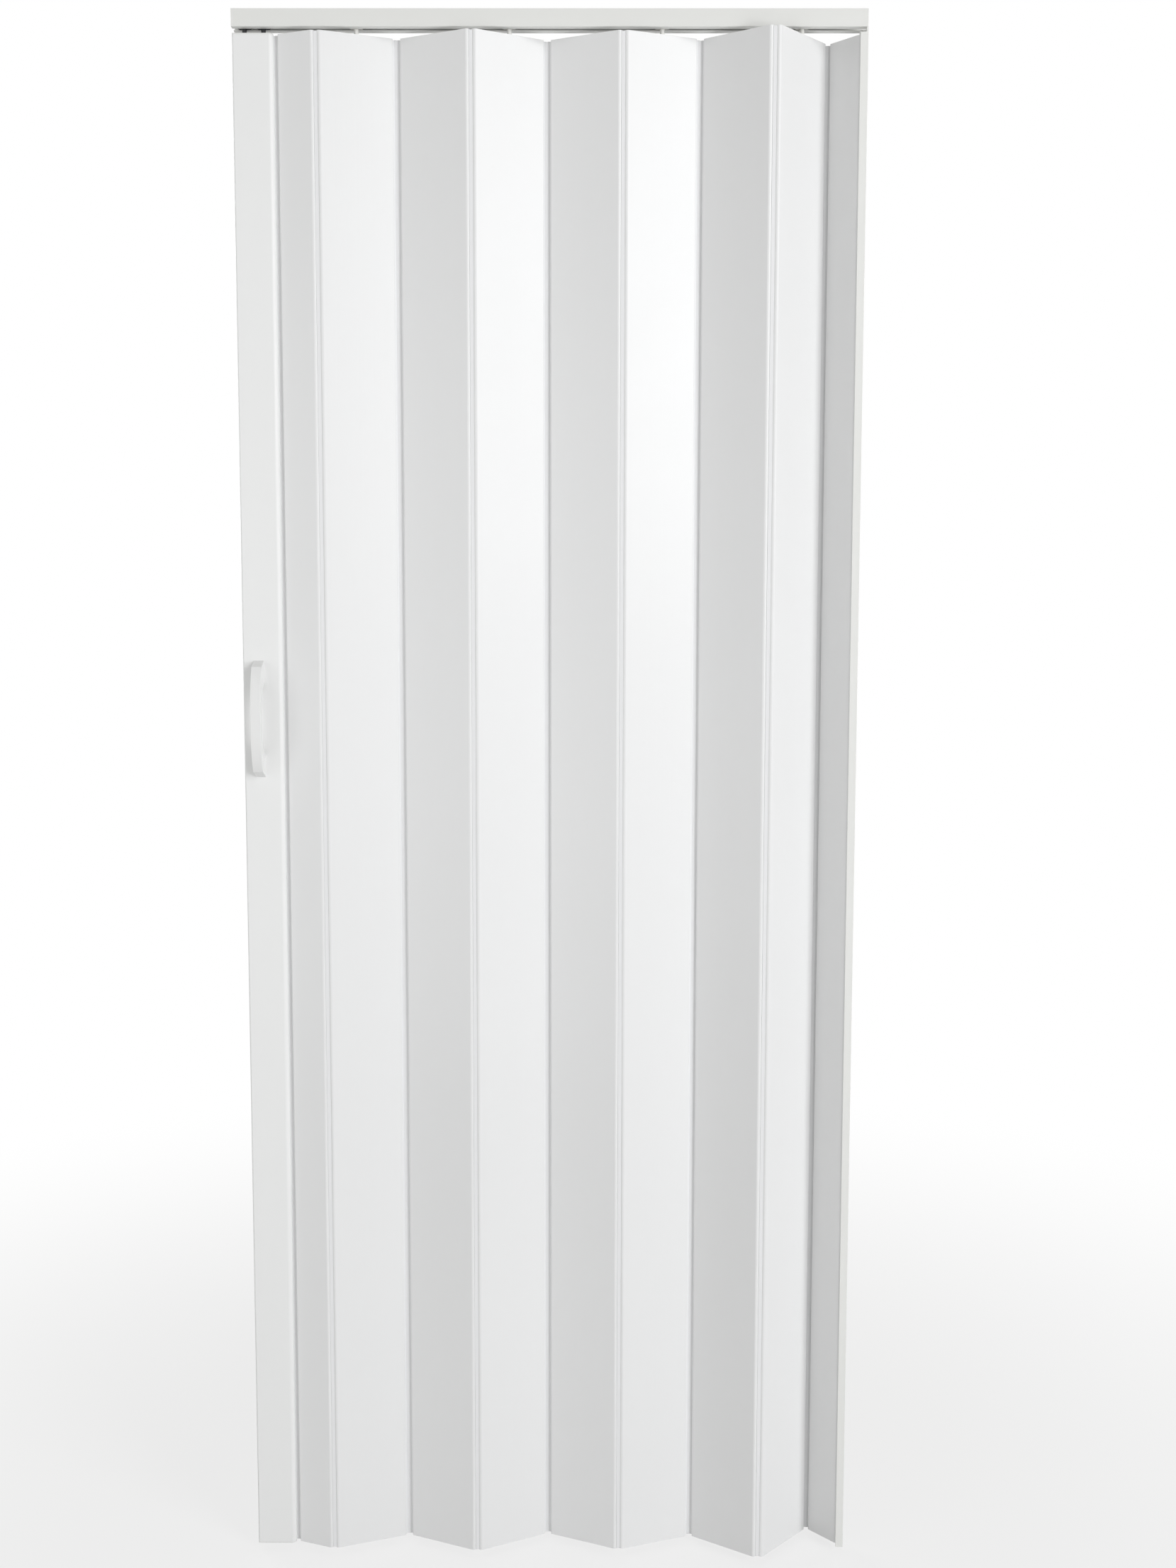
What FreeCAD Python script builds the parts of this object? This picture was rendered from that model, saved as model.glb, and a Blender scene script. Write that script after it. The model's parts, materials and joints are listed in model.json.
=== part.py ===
import FreeCAD, Part
import math
import os

# A folding door: a zigzag of hollow slats hung from a track, drawn out to close the opening.
# Lengths in millimetres, angles in degrees. The origin is the middle of the track's top face,
# X runs along the track towards the wall post, Y away from the viewer and Z up.

# The closed door, from the leading post's face to the wall and from the track's top to the slats' foot
door_width = 830.0
door_height = 2100.0

# Slats: flat hollow extrusions with a round socket along each long edge
slat_thickness = 9.6
slat_skin = 1.1
slat_rib = 0.8
slat_cells_each_side = 3
port_bore = 3.8
port_wall = 1.2

# Hinge strips: two beads on a web, with a rib that closes the fold from outside and hugs the slats' ends
bead_spacing = 10.8
bead_radius = 1.9
socket_clearance = 0.06
socket_wall = 1.4
web_thickness = 1.1
web_clearance = 0.3
rib_width = 4.8
rib_height = 4.3
rib_clearance = 0.15
strip_setback = 1.0

# How far the slats that hang from the track are turned when the door is closed, and all when folded
slat_b_closed_angle = 20.0
slat_d_closed_angle = 26.0
slat_f_closed_angle = 20.0
slat_h_closed_angle = 46.8
folded_angle = 88.0

# Header track: a channel with a slot along its underside
track_depth = 26.0
track_height = 23.0
track_wall = 1.6
track_corner = 1.2
track_slot = 9.0
track_screw_bore = 4.5
track_screw_spacing_shares = [0.86, 0.28]

# Hanger pins: a stem through the slot with a round head that slides on the track's lips
hanging_gap = 7.0
stem_radius = 3.0
head_radius = 10.0
head_thickness = 4.0
head_edge = 1.0
head_play = 0.3
plug_depth = 24.0
plug_clearance = 0.05

# Leading post: a flat box with a socket for the first hinge strip in its rounder inner edge
post_width = 53.5
post_depth = 20.0
post_wall = 1.5
post_corner = 2.5
post_inner_corner = 6.0
post_rib = 1.2
post_rib_place = 27.5
post_pin_places = [15.0, 40.0]
cap_thickness = 2.0
cap_plug_depth = 14.0
cap_clearance = 0.15

# Bow handles, one on each face of the leading post, joined by two through screws
handle_place = 22.0
handle_level = 1174.0
handle_height = 158.0
handle_width = 13.5
handle_end_reach = 18.0
handle_end_lean = 8.0
handle_reach = 30.0
handle_gap_height = 100.0
handle_gap_reach = 20.0
handle_bow_shares = [(1, 0), (0.8, 0.54), (0.5, 0.91), (0, 1), (-0.5, 0.91), (-0.8, 0.54), (-1, 0)]
handle_rounding = 2.6
screw_radius = 2.0
screw_clearance = 0.05
screw_hole_play = 0.25
screw_bite = 12.0
screw_seat = 10.0
screw_head_radius = 3.6
screw_head_height = 2.4
screw_head_play = 0.3

# Wall post: a plate screwed to the wall, with a cover lip in front and a bead for the last slat
wall_plate = 2.0
wall_plate_depth = 30.0
wall_lip_width = 8.0
wall_lip_thickness = 1.6
wall_play = 0.75
wall_top_gap = 0.3
wall_screw_bore = 4.5
wall_screw_place = 8.5
wall_screw_spacing_shares = [0.9, 0.3]

# Cutting tools run past what they cut by this much
overrun = 1.0

edge_radius = slat_thickness / 2
socket_radius = bead_radius + socket_clearance
slat_top = -(track_height + hanging_gap)
slat_bottom = -door_height
left_end = -door_width / 2
right_end = door_width / 2
track_screw_spacings = [share * door_width for share in track_screw_spacing_shares]
wall_screw_spacings = [share * door_height for share in wall_screw_spacing_shares]


def vec(x, y, z=0):
    return FreeCAD.Vector(x, y, z)


def polar(radius, degrees):
    turn = math.radians(degrees)
    return vec(radius * math.cos(turn), radius * math.sin(turn))


def disc(x, y, radius):
    return Part.Face(Part.Wire(Part.makeCircle(radius, vec(x, y))))


def rectangle(x0, y0, x1, y1):
    corners = [vec(x0, y0), vec(x1, y0), vec(x1, y1), vec(x0, y1), vec(x0, y0)]
    return Part.Face(Part.makePolygon(corners))


def rounded_rectangle(x0, y0, x1, y1, radius):
    block = rectangle(x0, y0, x1, y1).extrude(vec(0, 0, radius))
    upright = [e for e in block.Edges if abs(e.tangentAt(e.FirstParameter).z) > 0.5]
    rounded = block.makeFillet(radius, upright)
    return min(rounded.Faces, key=lambda f: f.CenterOfMass.z)


def prism(face, low, high):
    solid = face.extrude(vec(0, 0, high - low)).removeSplitter()
    solid.translate(vec(0, 0, low))
    return solid


def export(shape, name):
    solids = shape.Solids
    whole = solids[0] if len(solids) == 1 else Part.makeCompound(solids)
    whole.exportStep("parts/" + name + ".step")
    print(name, len(solids), "solid", round(shape.Volume / 1000, 2), "cm3", shape.isValid())


# Layout of the folds, from the leading post to the wall post. The first and last slats are half
# as long between their pivots, so that the slats that hang from the track turn about its middle.

slat_names = "abcdefghi"
closed_angles = {"b": slat_b_closed_angle, "d": slat_d_closed_angle, "f": slat_f_closed_angle, "h": slat_h_closed_angle}


def slat_angle(name):
    if name in closed_angles:
        return closed_angles[name]
    place = slat_names.index(name)
    near = [n for n in (slat_names[place - 1 : place], slat_names[place + 1 : place + 2]) if n]
    sines = [math.sin(math.radians(closed_angles[n])) for n in near]
    return math.degrees(math.asin(sum(sines) / len(sines)))


def length_share(name):
    return 0.5 if name in (slat_names[0], slat_names[-1]) else 1


# The slats that don't hang from the track slope towards the viewer
def slope(name):
    return 1 if name in closed_angles else -1


lead_bead = post_width - edge_radius
lead_pivot = lead_bead + bead_spacing
wall_pivot = door_width - wall_plate - wall_play - edge_radius
length_shares = [length_share(n) * math.cos(math.radians(slat_angle(n))) for n in slat_names]
strips_width = bead_spacing * (len(slat_names) - 1)
slat_pivots = (wall_pivot - lead_pivot - strips_width) / sum(length_shares)


def slat_length(name):
    return length_share(name) * slat_pivots


def fold_layout():
    places = {}
    x = lead_pivot
    y = 0
    for name in slat_names:
        angle = slope(name) * slat_angle(name)
        start = vec(x, y)
        end = start + polar(slat_length(name), angle)
        places[name] = (start, end, angle)
        x = end.x + bead_spacing
        y = end.y
    return places


layout = fold_layout()


def to_frame(point):
    return vec(point.x + left_end, point.y)


# Slat section, between pivots on X, with its left mouth on the upper side


def mouth(direction_low, direction_high):
    half = web_thickness / 2 + web_clearance
    reach = slat_thickness
    low_side = polar(half, direction_low - 90)
    high_side = polar(half, direction_high + 90)
    middle = (direction_low + direction_high) / 2
    corners = [
        low_side,
        low_side + polar(reach, direction_low),
        polar(reach, middle),
        high_side + polar(reach, direction_high),
        high_side,
    ]
    return Part.Face(Part.makePolygon(corners + corners[:1]))


def slat_section(length, angle, with_port):
    half = length / 2
    plate = rectangle(-half, -edge_radius, half, edge_radius)
    section = plate.multiFuse([disc(-half, 0, edge_radius), disc(half, 0, edge_radius)]).removeSplitter()
    cuts = []
    for side in (-1, 1):
        opening = mouth(180 - folded_angle, 180 - angle)
        if side > 0:
            opening.rotate(vec(0, 0), vec(0, 0, 1), 180)
        opening.translate(vec(side * half, 0))
        cuts += [disc(side * half, 0, socket_radius), opening]
    cell_end = half - socket_radius - socket_wall
    inside = edge_radius - slat_skin
    if with_port:
        cell_start = port_bore / 2 + port_wall
        cuts.append(disc(0, 0, port_bore / 2))
        spans = [(cell_start, cell_end), (-cell_end, -cell_start)]
    else:
        spans = [(-cell_end, cell_end)]
    for low, high in spans:
        width = (high - low + slat_rib) / slat_cells_each_side
        for cell in range(slat_cells_each_side):
            start = low + cell * width
            cuts.append(rectangle(start, -inside, start + width - slat_rib, inside))
    return section.cut(cuts)


def make_slat(name):
    start, end, angle = layout[name]
    half_slat = name in (slat_names[0], slat_names[-1])
    least_angle = min(closed_angles.values())
    section = slat_section(slat_length(name), least_angle, not half_slat)
    if slope(name) < 0:
        section.rotate(vec(0, 0), vec(1, 0, 0), 180)
    section.rotate(vec(0, 0), vec(0, 0, 1), angle)
    section.translate(to_frame((start + end) * 0.5))
    return prism(section.Faces[0], slat_bottom, slat_top)


# Hinge strip section round the middle between its beads, with its rib towards +Y. The rib is
# hollowed on both sides, so the slats' round ends turn beside it. On the post's side it stays thin.


def strip_section(rib_left):
    half = bead_spacing / 2
    web = rectangle(-half, -web_thickness / 2, half, web_thickness / 2)
    swing = edge_radius + rib_clearance
    rib = rectangle(rib_left, 0, rib_width / 2, rib_height).cut([disc(-half, 0, swing), disc(half, 0, swing)])
    beads = [disc(-half, 0, bead_radius), disc(half, 0, bead_radius)]
    return web.multiFuse(beads + rib.Faces).removeSplitter()


def make_strip(left_x, y, side, rib_left=-rib_width / 2):
    section = strip_section(rib_left)
    if side < 0:
        section.rotate(vec(0, 0), vec(0, 0, 1), 180)
    section.translate(to_frame(vec(left_x + bead_spacing / 2, y)))
    return prism(section.Faces[0], slat_bottom + strip_setback, slat_top - strip_setback)


# Hanger pin, with its plug in the port of a slat's top face


def make_hanger_pin(x):
    plug = Part.makeCylinder(port_bore / 2 - plug_clearance, plug_depth, vec(0, 0, -plug_depth))
    lip_top = hanging_gap + track_wall
    head_low = lip_top + head_play
    stem = Part.makeCylinder(stem_radius, head_low)
    head = Part.makeCylinder(head_radius, head_thickness, vec(0, 0, head_low))
    rims = [e for e in head.Edges if e.Closed and len(e.Vertexes) == 1]
    head = head.makeChamfer(head_edge, rims)
    pin = plug.multiFuse([stem, head]).removeSplitter()
    pin.translate(vec(x, 0, slat_top))
    return pin


# Header track


def make_track():
    outer = rounded_rectangle(-track_depth / 2, -track_height, track_depth / 2, 0, track_corner)
    inside = track_depth / 2 - track_wall
    hollow = rectangle(-inside, -track_height + track_wall, inside, -track_wall)
    slot = rectangle(-track_slot / 2, -track_height - overrun, track_slot / 2, -track_height + track_wall + overrun)
    section = outer.cut([hollow, slot])
    section.rotate(vec(0, 0), vec(1, 0, 0), 90)
    section.rotate(vec(0, 0), vec(0, 0, 1), 90)
    section.translate(vec(left_end, 0))
    track = section.Faces[0].extrude(vec(door_width, 0))
    for spacing in track_screw_spacings:
        for side in (-1, 1):
            place = vec(side * spacing / 2, 0, -track_wall - overrun)
            track = track.cut(Part.makeCylinder(track_screw_bore / 2, track_wall + 2 * overrun, place))
    return track


# Leading post, its caps and its hanger pins


def post_outline(inset):
    half = post_depth / 2 - inset
    outer_side = rounded_rectangle(inset, -half, post_width + post_corner, half, post_corner - inset)
    right = post_width - inset
    inner_side = rounded_rectangle(-post_inner_corner, -half, right, half, post_inner_corner - inset)
    return outer_side.common(inner_side).Faces[0]


def post_section():
    half = post_depth / 2
    outer = post_outline(0)
    hollow = post_outline(post_wall)
    rib_x = post_rib_place
    ribs = [
        rectangle(rib_x - post_rib / 2, -half, rib_x + post_rib / 2, half),
        rectangle(lead_bead - post_rib / 2, -half, lead_bead + post_rib / 2, half),
        disc(lead_bead, 0, edge_radius),
    ]
    inside = [face for rib in ribs for face in outer.common(rib).Faces]
    walls = outer.cut(hollow).Faces[0].multiFuse(inside).removeSplitter()
    web_half = web_thickness / 2 + socket_clearance
    slit = rectangle(lead_bead, -web_half, post_width + overrun, web_half)
    return walls.cut([disc(lead_bead, 0, socket_radius), slit])


def handle_screw_places():
    foot = (handle_height - handle_gap_height) / 4 + handle_end_lean / 2
    level = slat_bottom + handle_level
    return [level - handle_height / 2 + foot, level + handle_height / 2 - foot]


def make_lead_post():
    post = prism(post_section().Faces[0], slat_bottom + cap_thickness, slat_top - cap_thickness)
    bore = screw_radius + screw_hole_play
    for level in handle_screw_places():
        start = vec(handle_place, -post_depth / 2 - overrun, level)
        post = post.cut(Part.makeCylinder(bore, post_depth + 2 * overrun, start, vec(0, 1, 0)))
    post.translate(vec(left_end, 0))
    return post


def post_chambers():
    left = (post_wall, post_rib_place - post_rib / 2)
    right = (post_rib_place + post_rib / 2, lead_bead - edge_radius)
    return [left, right]


def make_post_cap(direction, with_bores):
    half = post_depth / 2
    flange = prism(post_outline(0), 0, cap_thickness)
    inside = half - post_wall - cap_clearance
    plugs = []
    for low, high in post_chambers():
        shape = rounded_rectangle(
            low + cap_clearance, -inside, high - cap_clearance, inside, post_corner - post_wall
        )
        plugs.append(prism(shape, -cap_plug_depth, 0))
    cap = flange.multiFuse(plugs).removeSplitter()
    notch = socket_radius + cap_clearance
    strip_way = rectangle(lead_bead - notch, -notch, post_width + overrun, notch)
    cap = cap.cut(prism(strip_way, -overrun, cap_thickness + overrun))
    if with_bores:
        for place in post_pin_places:
            start = vec(place, 0, -cap_plug_depth - overrun)
            depth = cap_plug_depth + cap_thickness + 2 * overrun
            cap = cap.cut(Part.makeCylinder(port_bore / 2, depth, start))
    if direction < 0:
        cap = cap.mirror(vec(0, 0), vec(0, 0, 1))
    seat = slat_top - cap_thickness if direction > 0 else slat_bottom + cap_thickness
    cap.translate(vec(left_end, 0, seat))
    return cap


# Bow handle on the viewer's face, from its side outline


def bow_curve(height, end_reach, reach):
    face = -post_depth / 2
    points = []
    for level_share, reach_share in handle_bow_shares:
        stand = end_reach + (reach - end_reach) * reach_share
        points.append(vec(0, face - stand, level_share * height / 2))
    curve = Part.BSplineCurve()
    curve.interpolate(points)
    return curve.toShape(), points[0], points[-1]


def handle_outline():
    face = -post_depth / 2
    bow, high_end, low_end = bow_curve(handle_height - 2 * handle_end_lean, handle_end_reach, handle_reach)
    under, gap_high, gap_low = bow_curve(handle_gap_height, 0, handle_gap_reach)
    foot_low = vec(0, face, -handle_height / 2)
    foot_high = vec(0, face, handle_height / 2)
    edges = [
        Part.makeLine(foot_low, low_end),
        bow,
        Part.makeLine(high_end, foot_high),
        Part.makeLine(foot_high, gap_high),
        under,
        Part.makeLine(gap_low, foot_low),
    ]
    return Part.Face(Part.Wire(edges))


def make_handle(side):
    handle = handle_outline().extrude(vec(handle_width, 0))
    handle.translate(vec(-handle_width / 2, 0))
    face = -post_depth / 2
    rims = [e for e in handle.Edges if e.BoundBox.YMin < face - handle_end_reach / 2]
    handle = handle.makeFillet(handle_rounding, rims)
    for level in handle_screw_places():
        place = level - slat_bottom - handle_level
        if side < 0:
            bore = screw_radius + screw_clearance
            start = vec(0, face + overrun, place)
            handle = handle.cut(Part.makeCylinder(bore, screw_bite + 2 * overrun, start, vec(0, -1, 0)))
        else:
            bore = screw_radius + screw_hole_play
            start = vec(0, face + overrun, place)
            handle = handle.cut(Part.makeCylinder(bore, handle_reach, start, vec(0, -1, 0)))
            start = vec(0, face - screw_seat, place)
            well = screw_head_radius + screw_head_play
            handle = handle.cut(Part.makeCylinder(well, handle_reach, start, vec(0, -1, 0)))
    if side > 0:
        handle = handle.mirror(vec(0, 0), vec(0, 1, 0))
    handle.translate(vec(left_end + handle_place, 0, slat_bottom + handle_level))
    return handle


def make_handle_screws():
    screws = []
    seat = post_depth / 2 + screw_seat
    for level in handle_screw_places():
        start = vec(left_end + handle_place, -post_depth / 2 - screw_bite, level)
        shank = Part.makeCylinder(screw_radius, seat + post_depth / 2 + screw_bite, start, vec(0, 1, 0))
        top = vec(left_end + handle_place, seat, level)
        head = Part.makeCylinder(screw_head_radius, screw_head_height, top, vec(0, 1, 0))
        screws.append(shank.fuse(head).removeSplitter())
    return Part.makeCompound(screws)


# Wall post with its cover lip on the viewer's side. The plate goes up to the track, the lip only
# as high as the slats.


def make_wall_post():
    half = wall_plate_depth / 2
    plate_x = right_end - wall_plate
    plate = rectangle(plate_x, -half, right_end, half)
    lip = rectangle(plate_x - wall_lip_width, -half, plate_x, -half + wall_lip_thickness)
    pivot = left_end + wall_pivot
    web = rectangle(pivot, -web_thickness / 2, plate_x, web_thickness / 2)
    bead = disc(pivot, 0, bead_radius)
    section = plate.multiFuse([web, bead]).removeSplitter()
    top = -track_height - wall_top_gap
    post = prism(section.Faces[0], slat_bottom, top).fuse(prism(lip, slat_bottom, slat_top)).removeSplitter()
    middle = (slat_bottom + top) / 2
    for spacing in wall_screw_spacings:
        for side in (-1, 1):
            start = vec(plate_x - overrun, -wall_screw_place, middle + side * spacing / 2)
            depth = wall_plate + 2 * overrun
            post = post.cut(Part.makeCylinder(wall_screw_bore / 2, depth, start, vec(1, 0, 0)))
    return post


os.makedirs("parts", exist_ok=True)
export(make_track(), "header_track")
export(make_wall_post(), "wall_post")
export(make_lead_post(), "lead_post")
export(make_post_cap(1, True), "lead_post_top_cap")
export(make_post_cap(-1, False), "lead_post_bottom_cap")
export(make_handle(-1), "handle_front")
export(make_handle(1), "handle_rear")
export(make_handle_screws(), "handle_screws")
lead_pins = [make_hanger_pin(left_end + place) for place in post_pin_places]
export(Part.makeCompound(lead_pins), "lead_post_hanger_pins")
post_gap = bead_spacing / 2 - edge_radius - rib_clearance
export(make_strip(lead_bead, 0, 1, -post_gap), "hinge_strip_lead")

for name in slat_names:
    export(make_slat(name), "slat_" + name)
    start, end, angle = layout[name]
    if name in closed_angles:
        middle = to_frame((start + end) * 0.5)
        export(make_hanger_pin(middle.x), "hanger_pin_" + name)

for name, following in zip(slat_names, slat_names[1:]):
    fold = layout[name][1]
    export(make_strip(fold.x, fold.y, slope(name)), "hinge_strip_" + name + following)

print("full slats between pivots", round(slat_pivots, 2))
for name in slat_names:
    start, end, angle = layout[name]
    print(name, round(angle, 3), [round(v, 2) for v in (start.x, start.y, end.x, end.y)])
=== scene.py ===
import json
import math

import bmesh
import bpy
from mathutils import Matrix, Vector


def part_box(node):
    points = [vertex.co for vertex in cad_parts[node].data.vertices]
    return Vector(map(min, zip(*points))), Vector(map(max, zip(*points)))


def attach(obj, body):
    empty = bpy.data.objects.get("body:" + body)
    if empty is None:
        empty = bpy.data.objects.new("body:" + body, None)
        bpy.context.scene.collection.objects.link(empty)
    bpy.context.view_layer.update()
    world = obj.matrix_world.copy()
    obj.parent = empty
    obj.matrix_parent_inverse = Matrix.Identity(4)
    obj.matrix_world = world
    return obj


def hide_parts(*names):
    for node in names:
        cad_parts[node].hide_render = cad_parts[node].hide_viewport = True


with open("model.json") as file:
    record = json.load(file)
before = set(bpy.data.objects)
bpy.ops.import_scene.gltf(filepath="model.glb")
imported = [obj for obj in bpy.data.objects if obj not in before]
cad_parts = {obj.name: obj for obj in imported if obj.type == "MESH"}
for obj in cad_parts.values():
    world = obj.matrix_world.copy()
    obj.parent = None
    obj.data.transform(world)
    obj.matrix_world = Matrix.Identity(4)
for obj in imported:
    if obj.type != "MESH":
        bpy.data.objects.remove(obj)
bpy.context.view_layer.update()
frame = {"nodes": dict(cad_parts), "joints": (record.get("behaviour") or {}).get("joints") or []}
scene = bpy.context.scene

# Folding door: hollow slats on flexible strips, hung from a track. Metres, in the frame's own axes.

mm = 0.001
joints = {joint["name"]: Vector(joint["pos_m"]) for joint in frame["joints"]}
slatNames = "abcdefghi"
shading = {"crispAngle": math.radians(35), "roundSteps": 2, "flatWeight": 90}


def putNode(tree, kind, inputs=None, **settings):
    made = tree.nodes.new(kind)
    for name, value in settings.items():
        setattr(made, name, value)
    for name, value in (inputs or {}).items():
        if isinstance(value, bpy.types.NodeSocket):
            tree.links.new(value, made.inputs[name])
        else:
            made.inputs[name].default_value = value
    return made


def doMath(tree, operation, *values):
    return putNode(tree, "ShaderNodeMath", dict(enumerate(values)), operation=operation).outputs[0]


def addNoise(tree, place, scale, detail):
    noise = putNode(tree, "ShaderNodeTexNoise", {"Vector": place, "Scale": scale, "Detail": detail})
    return noise.outputs["Fac"]


def joinNode(tree, *geometries):
    joined = tree.nodes.new("GeometryNodeJoinGeometry")
    for geometry in geometries:
        tree.links.new(geometry, joined.inputs[0])
    return joined.outputs[0]


# An empty Geometry Nodes tree with its named inputs, each with its kind, and one output
def newTree(name, inputs, output):
    tree = bpy.data.node_groups.new(name, "GeometryNodeTree")
    for label, kind in inputs:
        tree.interface.new_socket(label, in_out="INPUT", socket_type="NodeSocket" + kind)
    tree.interface.new_socket(output, in_out="OUTPUT", socket_type="NodeSocketGeometry")
    return tree


# The end of a tree: its instances made real and covered in the material
def endTree(tree, output, geometry, material):
    real = putNode(tree, "GeometryNodeRealizeInstances", {"Geometry": geometry}).outputs["Geometry"]
    covered = putNode(tree, "GeometryNodeSetMaterial", {"Geometry": real, "Material": material})
    putNode(tree, "NodeGroupOutput", {output: covered.outputs["Geometry"]})


def addPiece(name, mesh, material, body, slot, *replaced):
    piece = bpy.data.objects.new(name, mesh)
    scene.collection.objects.link(piece)
    if material is not None:
        mesh.materials.clear()
        mesh.materials.append(material)
    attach(piece, body)
    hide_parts(*replaced)
    return piece


# Normals that follow the larger faces, so that flat faces stay flat to the light
def weighNormals(piece, **settings):
    flat = piece.modifiers.new("flatFaces", "WEIGHTED_NORMAL")
    flat.mode = "FACE_AREA"
    for name, value in settings.items():
        setattr(flat, name, value)


# A small round on every sharp edge
def roundEdges(piece, width):
    bevel = piece.modifiers.new("edgeRound", "BEVEL")
    bevel.width = width
    bevel.segments = shading["roundSteps"]
    bevel.limit_method = "ANGLE"
    bevel.angle_limit = shading["crispAngle"]
    weighNormals(piece, weight=shading["flatWeight"])


# Smooth faces, with a crisp line wherever the surface turns by more than the angle
def shadeByAngle(work):
    for face in work.faces:
        face.smooth = True
    for edge in work.edges:
        edge.smooth = edge.calc_face_angle(0) < shading["crispAngle"]


def storeMesh(work, mesh):
    work.to_mesh(mesh)
    work.free()
    return mesh


# Closes a solid between two rings that have the same number of points
def closeRings(work, first, second):
    work.faces.new(first)
    work.faces.new(second)
    for place in range(len(first)):
        follow = (place + 1) % len(first)
        work.faces.new([first[place], first[follow], second[follow], second[place]])
    bmesh.ops.recalc_face_normals(work, faces=work.faces)


# The mesh of an object as its modifiers leave it
def plainMesh(host):
    graph = bpy.context.evaluated_depsgraph_get()
    shaped = host.evaluated_get(graph)
    return bpy.data.meshes.new_from_object(shaped, preserve_all_data_layers=True, depsgraph=graph)


# A closed solid turned round Z from a profile of radius and height, foot first
def turnedMesh(name, profile, steps):
    work = bmesh.new()
    rings = []
    for radius, height in profile:
        turns = range(steps) if radius > 0 else range(1)
        ring = []
        for turn in turns:
            angle = 2 * math.pi * turn / steps
            point = (radius * math.cos(angle), radius * math.sin(angle), height)
            ring.append(work.verts.new(point))
        rings.append(ring)
    for lower, upper in zip(rings, rings[1:]):
        for turn in range(steps):
            follow = (turn + 1) % steps
            corners = [lower[turn % len(lower)], lower[follow % len(lower)]]
            corners += [upper[follow % len(upper)], upper[turn % len(upper)]]
            work.faces.new(list(dict.fromkeys(corners)))
    bmesh.ops.recalc_face_normals(work, faces=work.faces)
    shadeByAngle(work)
    return storeMesh(work, bpy.data.meshes.new(name))


# Takes cutters out of a mesh, after rounding its weighted edges, and gives the mesh that is left
def carvedMesh(mesh, cutters, rounding=0, roundSteps=1):
    host = bpy.data.objects.new("carving", mesh)
    scene.collection.objects.link(host)
    if rounding:
        bevel = host.modifiers.new("rounding", "BEVEL")
        bevel.width = rounding
        bevel.segments = roundSteps
        bevel.limit_method = "WEIGHT"
    tools = []
    for cutter in cutters:
        tool = bpy.data.objects.new("cutter", cutter)
        scene.collection.objects.link(tool)
        cut = host.modifiers.new("cut", "BOOLEAN")
        cut.operation = "DIFFERENCE"
        cut.solver = "EXACT"
        cut.object = tool
        tools.append(tool)
    carved = plainMesh(host)
    for made in [host] + tools:
        bpy.data.objects.remove(made)
    work = bmesh.new()
    work.from_mesh(carved)
    shadeByAngle(work)
    return storeMesh(work, carved)


# Materials: plastics, each with its own grain, and zinc plated steel for the screws

plastics = {
    "slat": {
        "colour": (0.84, 0.841, 0.842), "tone": 0.01, "toneSize": 1.6,
        "rough": 0.3, "roughSwing": 0.04, "specular": 0.37, "coat": 0,
        "grain": (900, 900, 5), "grainBump": 0.05,
    },
    "strip": {
        "colour": (0.85, 0.853, 0.86), "tone": 0.01, "toneSize": 2.4,
        "rough": 0.42, "roughSwing": 0.04, "specular": 0.45, "coat": 0,
        "grain": (700, 700, 9), "grainBump": 0.06,
    },
    # Lighter than the slat plastic: partly painted light, brightening the leading post as more
    # light on it would
    "post": {
        "colour": (0.865, 0.867, 0.863), "tone": 0.01, "toneSize": 1.3,
        "rough": 0.38, "roughSwing": 0.05, "specular": 0.5, "coat": 0,
        "grain": (800, 800, 5), "grainBump": 0.05,
    },
    "track": {
        "colour": (0.8, 0.802, 0.78), "tone": 0.015, "toneSize": 2.2,
        "rough": 0.38, "roughSwing": 0.05, "specular": 0.45, "coat": 0,
        "grain": (5, 800, 800), "grainBump": 0.05,
    },
    "cap": {
        "colour": (0.81, 0.81, 0.8), "tone": 0.02, "toneSize": 14,
        "rough": 0.46, "roughSwing": 0.05, "specular": 0.45, "coat": 0,
        "grain": (1600, 1600, 1600), "grainBump": 0.16,
    },
    "handle": {
        "colour": (0.84, 0.84, 0.835), "tone": 0.015, "toneSize": 9,
        "rough": 0.25, "roughSwing": 0.06, "specular": 0.5, "coat": 0.2,
        "grain": (420, 420, 420), "grainBump": 0.04,
    },
    "nylon": {
        "colour": (0.8, 0.795, 0.765), "tone": 0.03, "toneSize": 30,
        "rough": 0.4, "roughSwing": 0.08, "specular": 0.45, "coat": 0,
        "grain": (1300, 1300, 1300), "grainBump": 0.12,
    },
    # Near-black nylon for the leading post's hanger pins, partly painted shade: dark also to stand
    # for the shade in the gap between the post's top and the track
    "darkNylonPaintedShade": {
        "colour": (0.03, 0.031, 0.033), "tone": 0.004, "toneSize": 30,
        "rough": 0.42, "roughSwing": 0.08, "specular": 0.45, "coat": 0,
        "grain": (1300, 1300, 1300), "grainBump": 0.12,
    },
}

plasticFinish = {
    "toneRange": (0.3, 0.7), "toneDetail": 3, "smudgeSize": 3.5, "smudgeRange": (0.25, 0.75),
    "grainDepth": 0.05 * mm, "fineDetail": 2, "coatRough": 0.22,
}
halfCell = 0.5  # a rib stands half a cell's pitch from the middle of the cell beside it
# A sink line fades out between these ends, counted in cells from the middle of its rib
sinkLine = {"inner": 0.01, "outer": 0.15, "strength": 0.4, "depth": 0.03 * mm}
zinc = {
    "dark": (0.5, 0.51, 0.53, 1), "light": (0.7, 0.7, 0.69, 1),
    "mottleSize": 700, "mottleDetail": 4, "roughRange": (0.22, 0.44),
}


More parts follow.
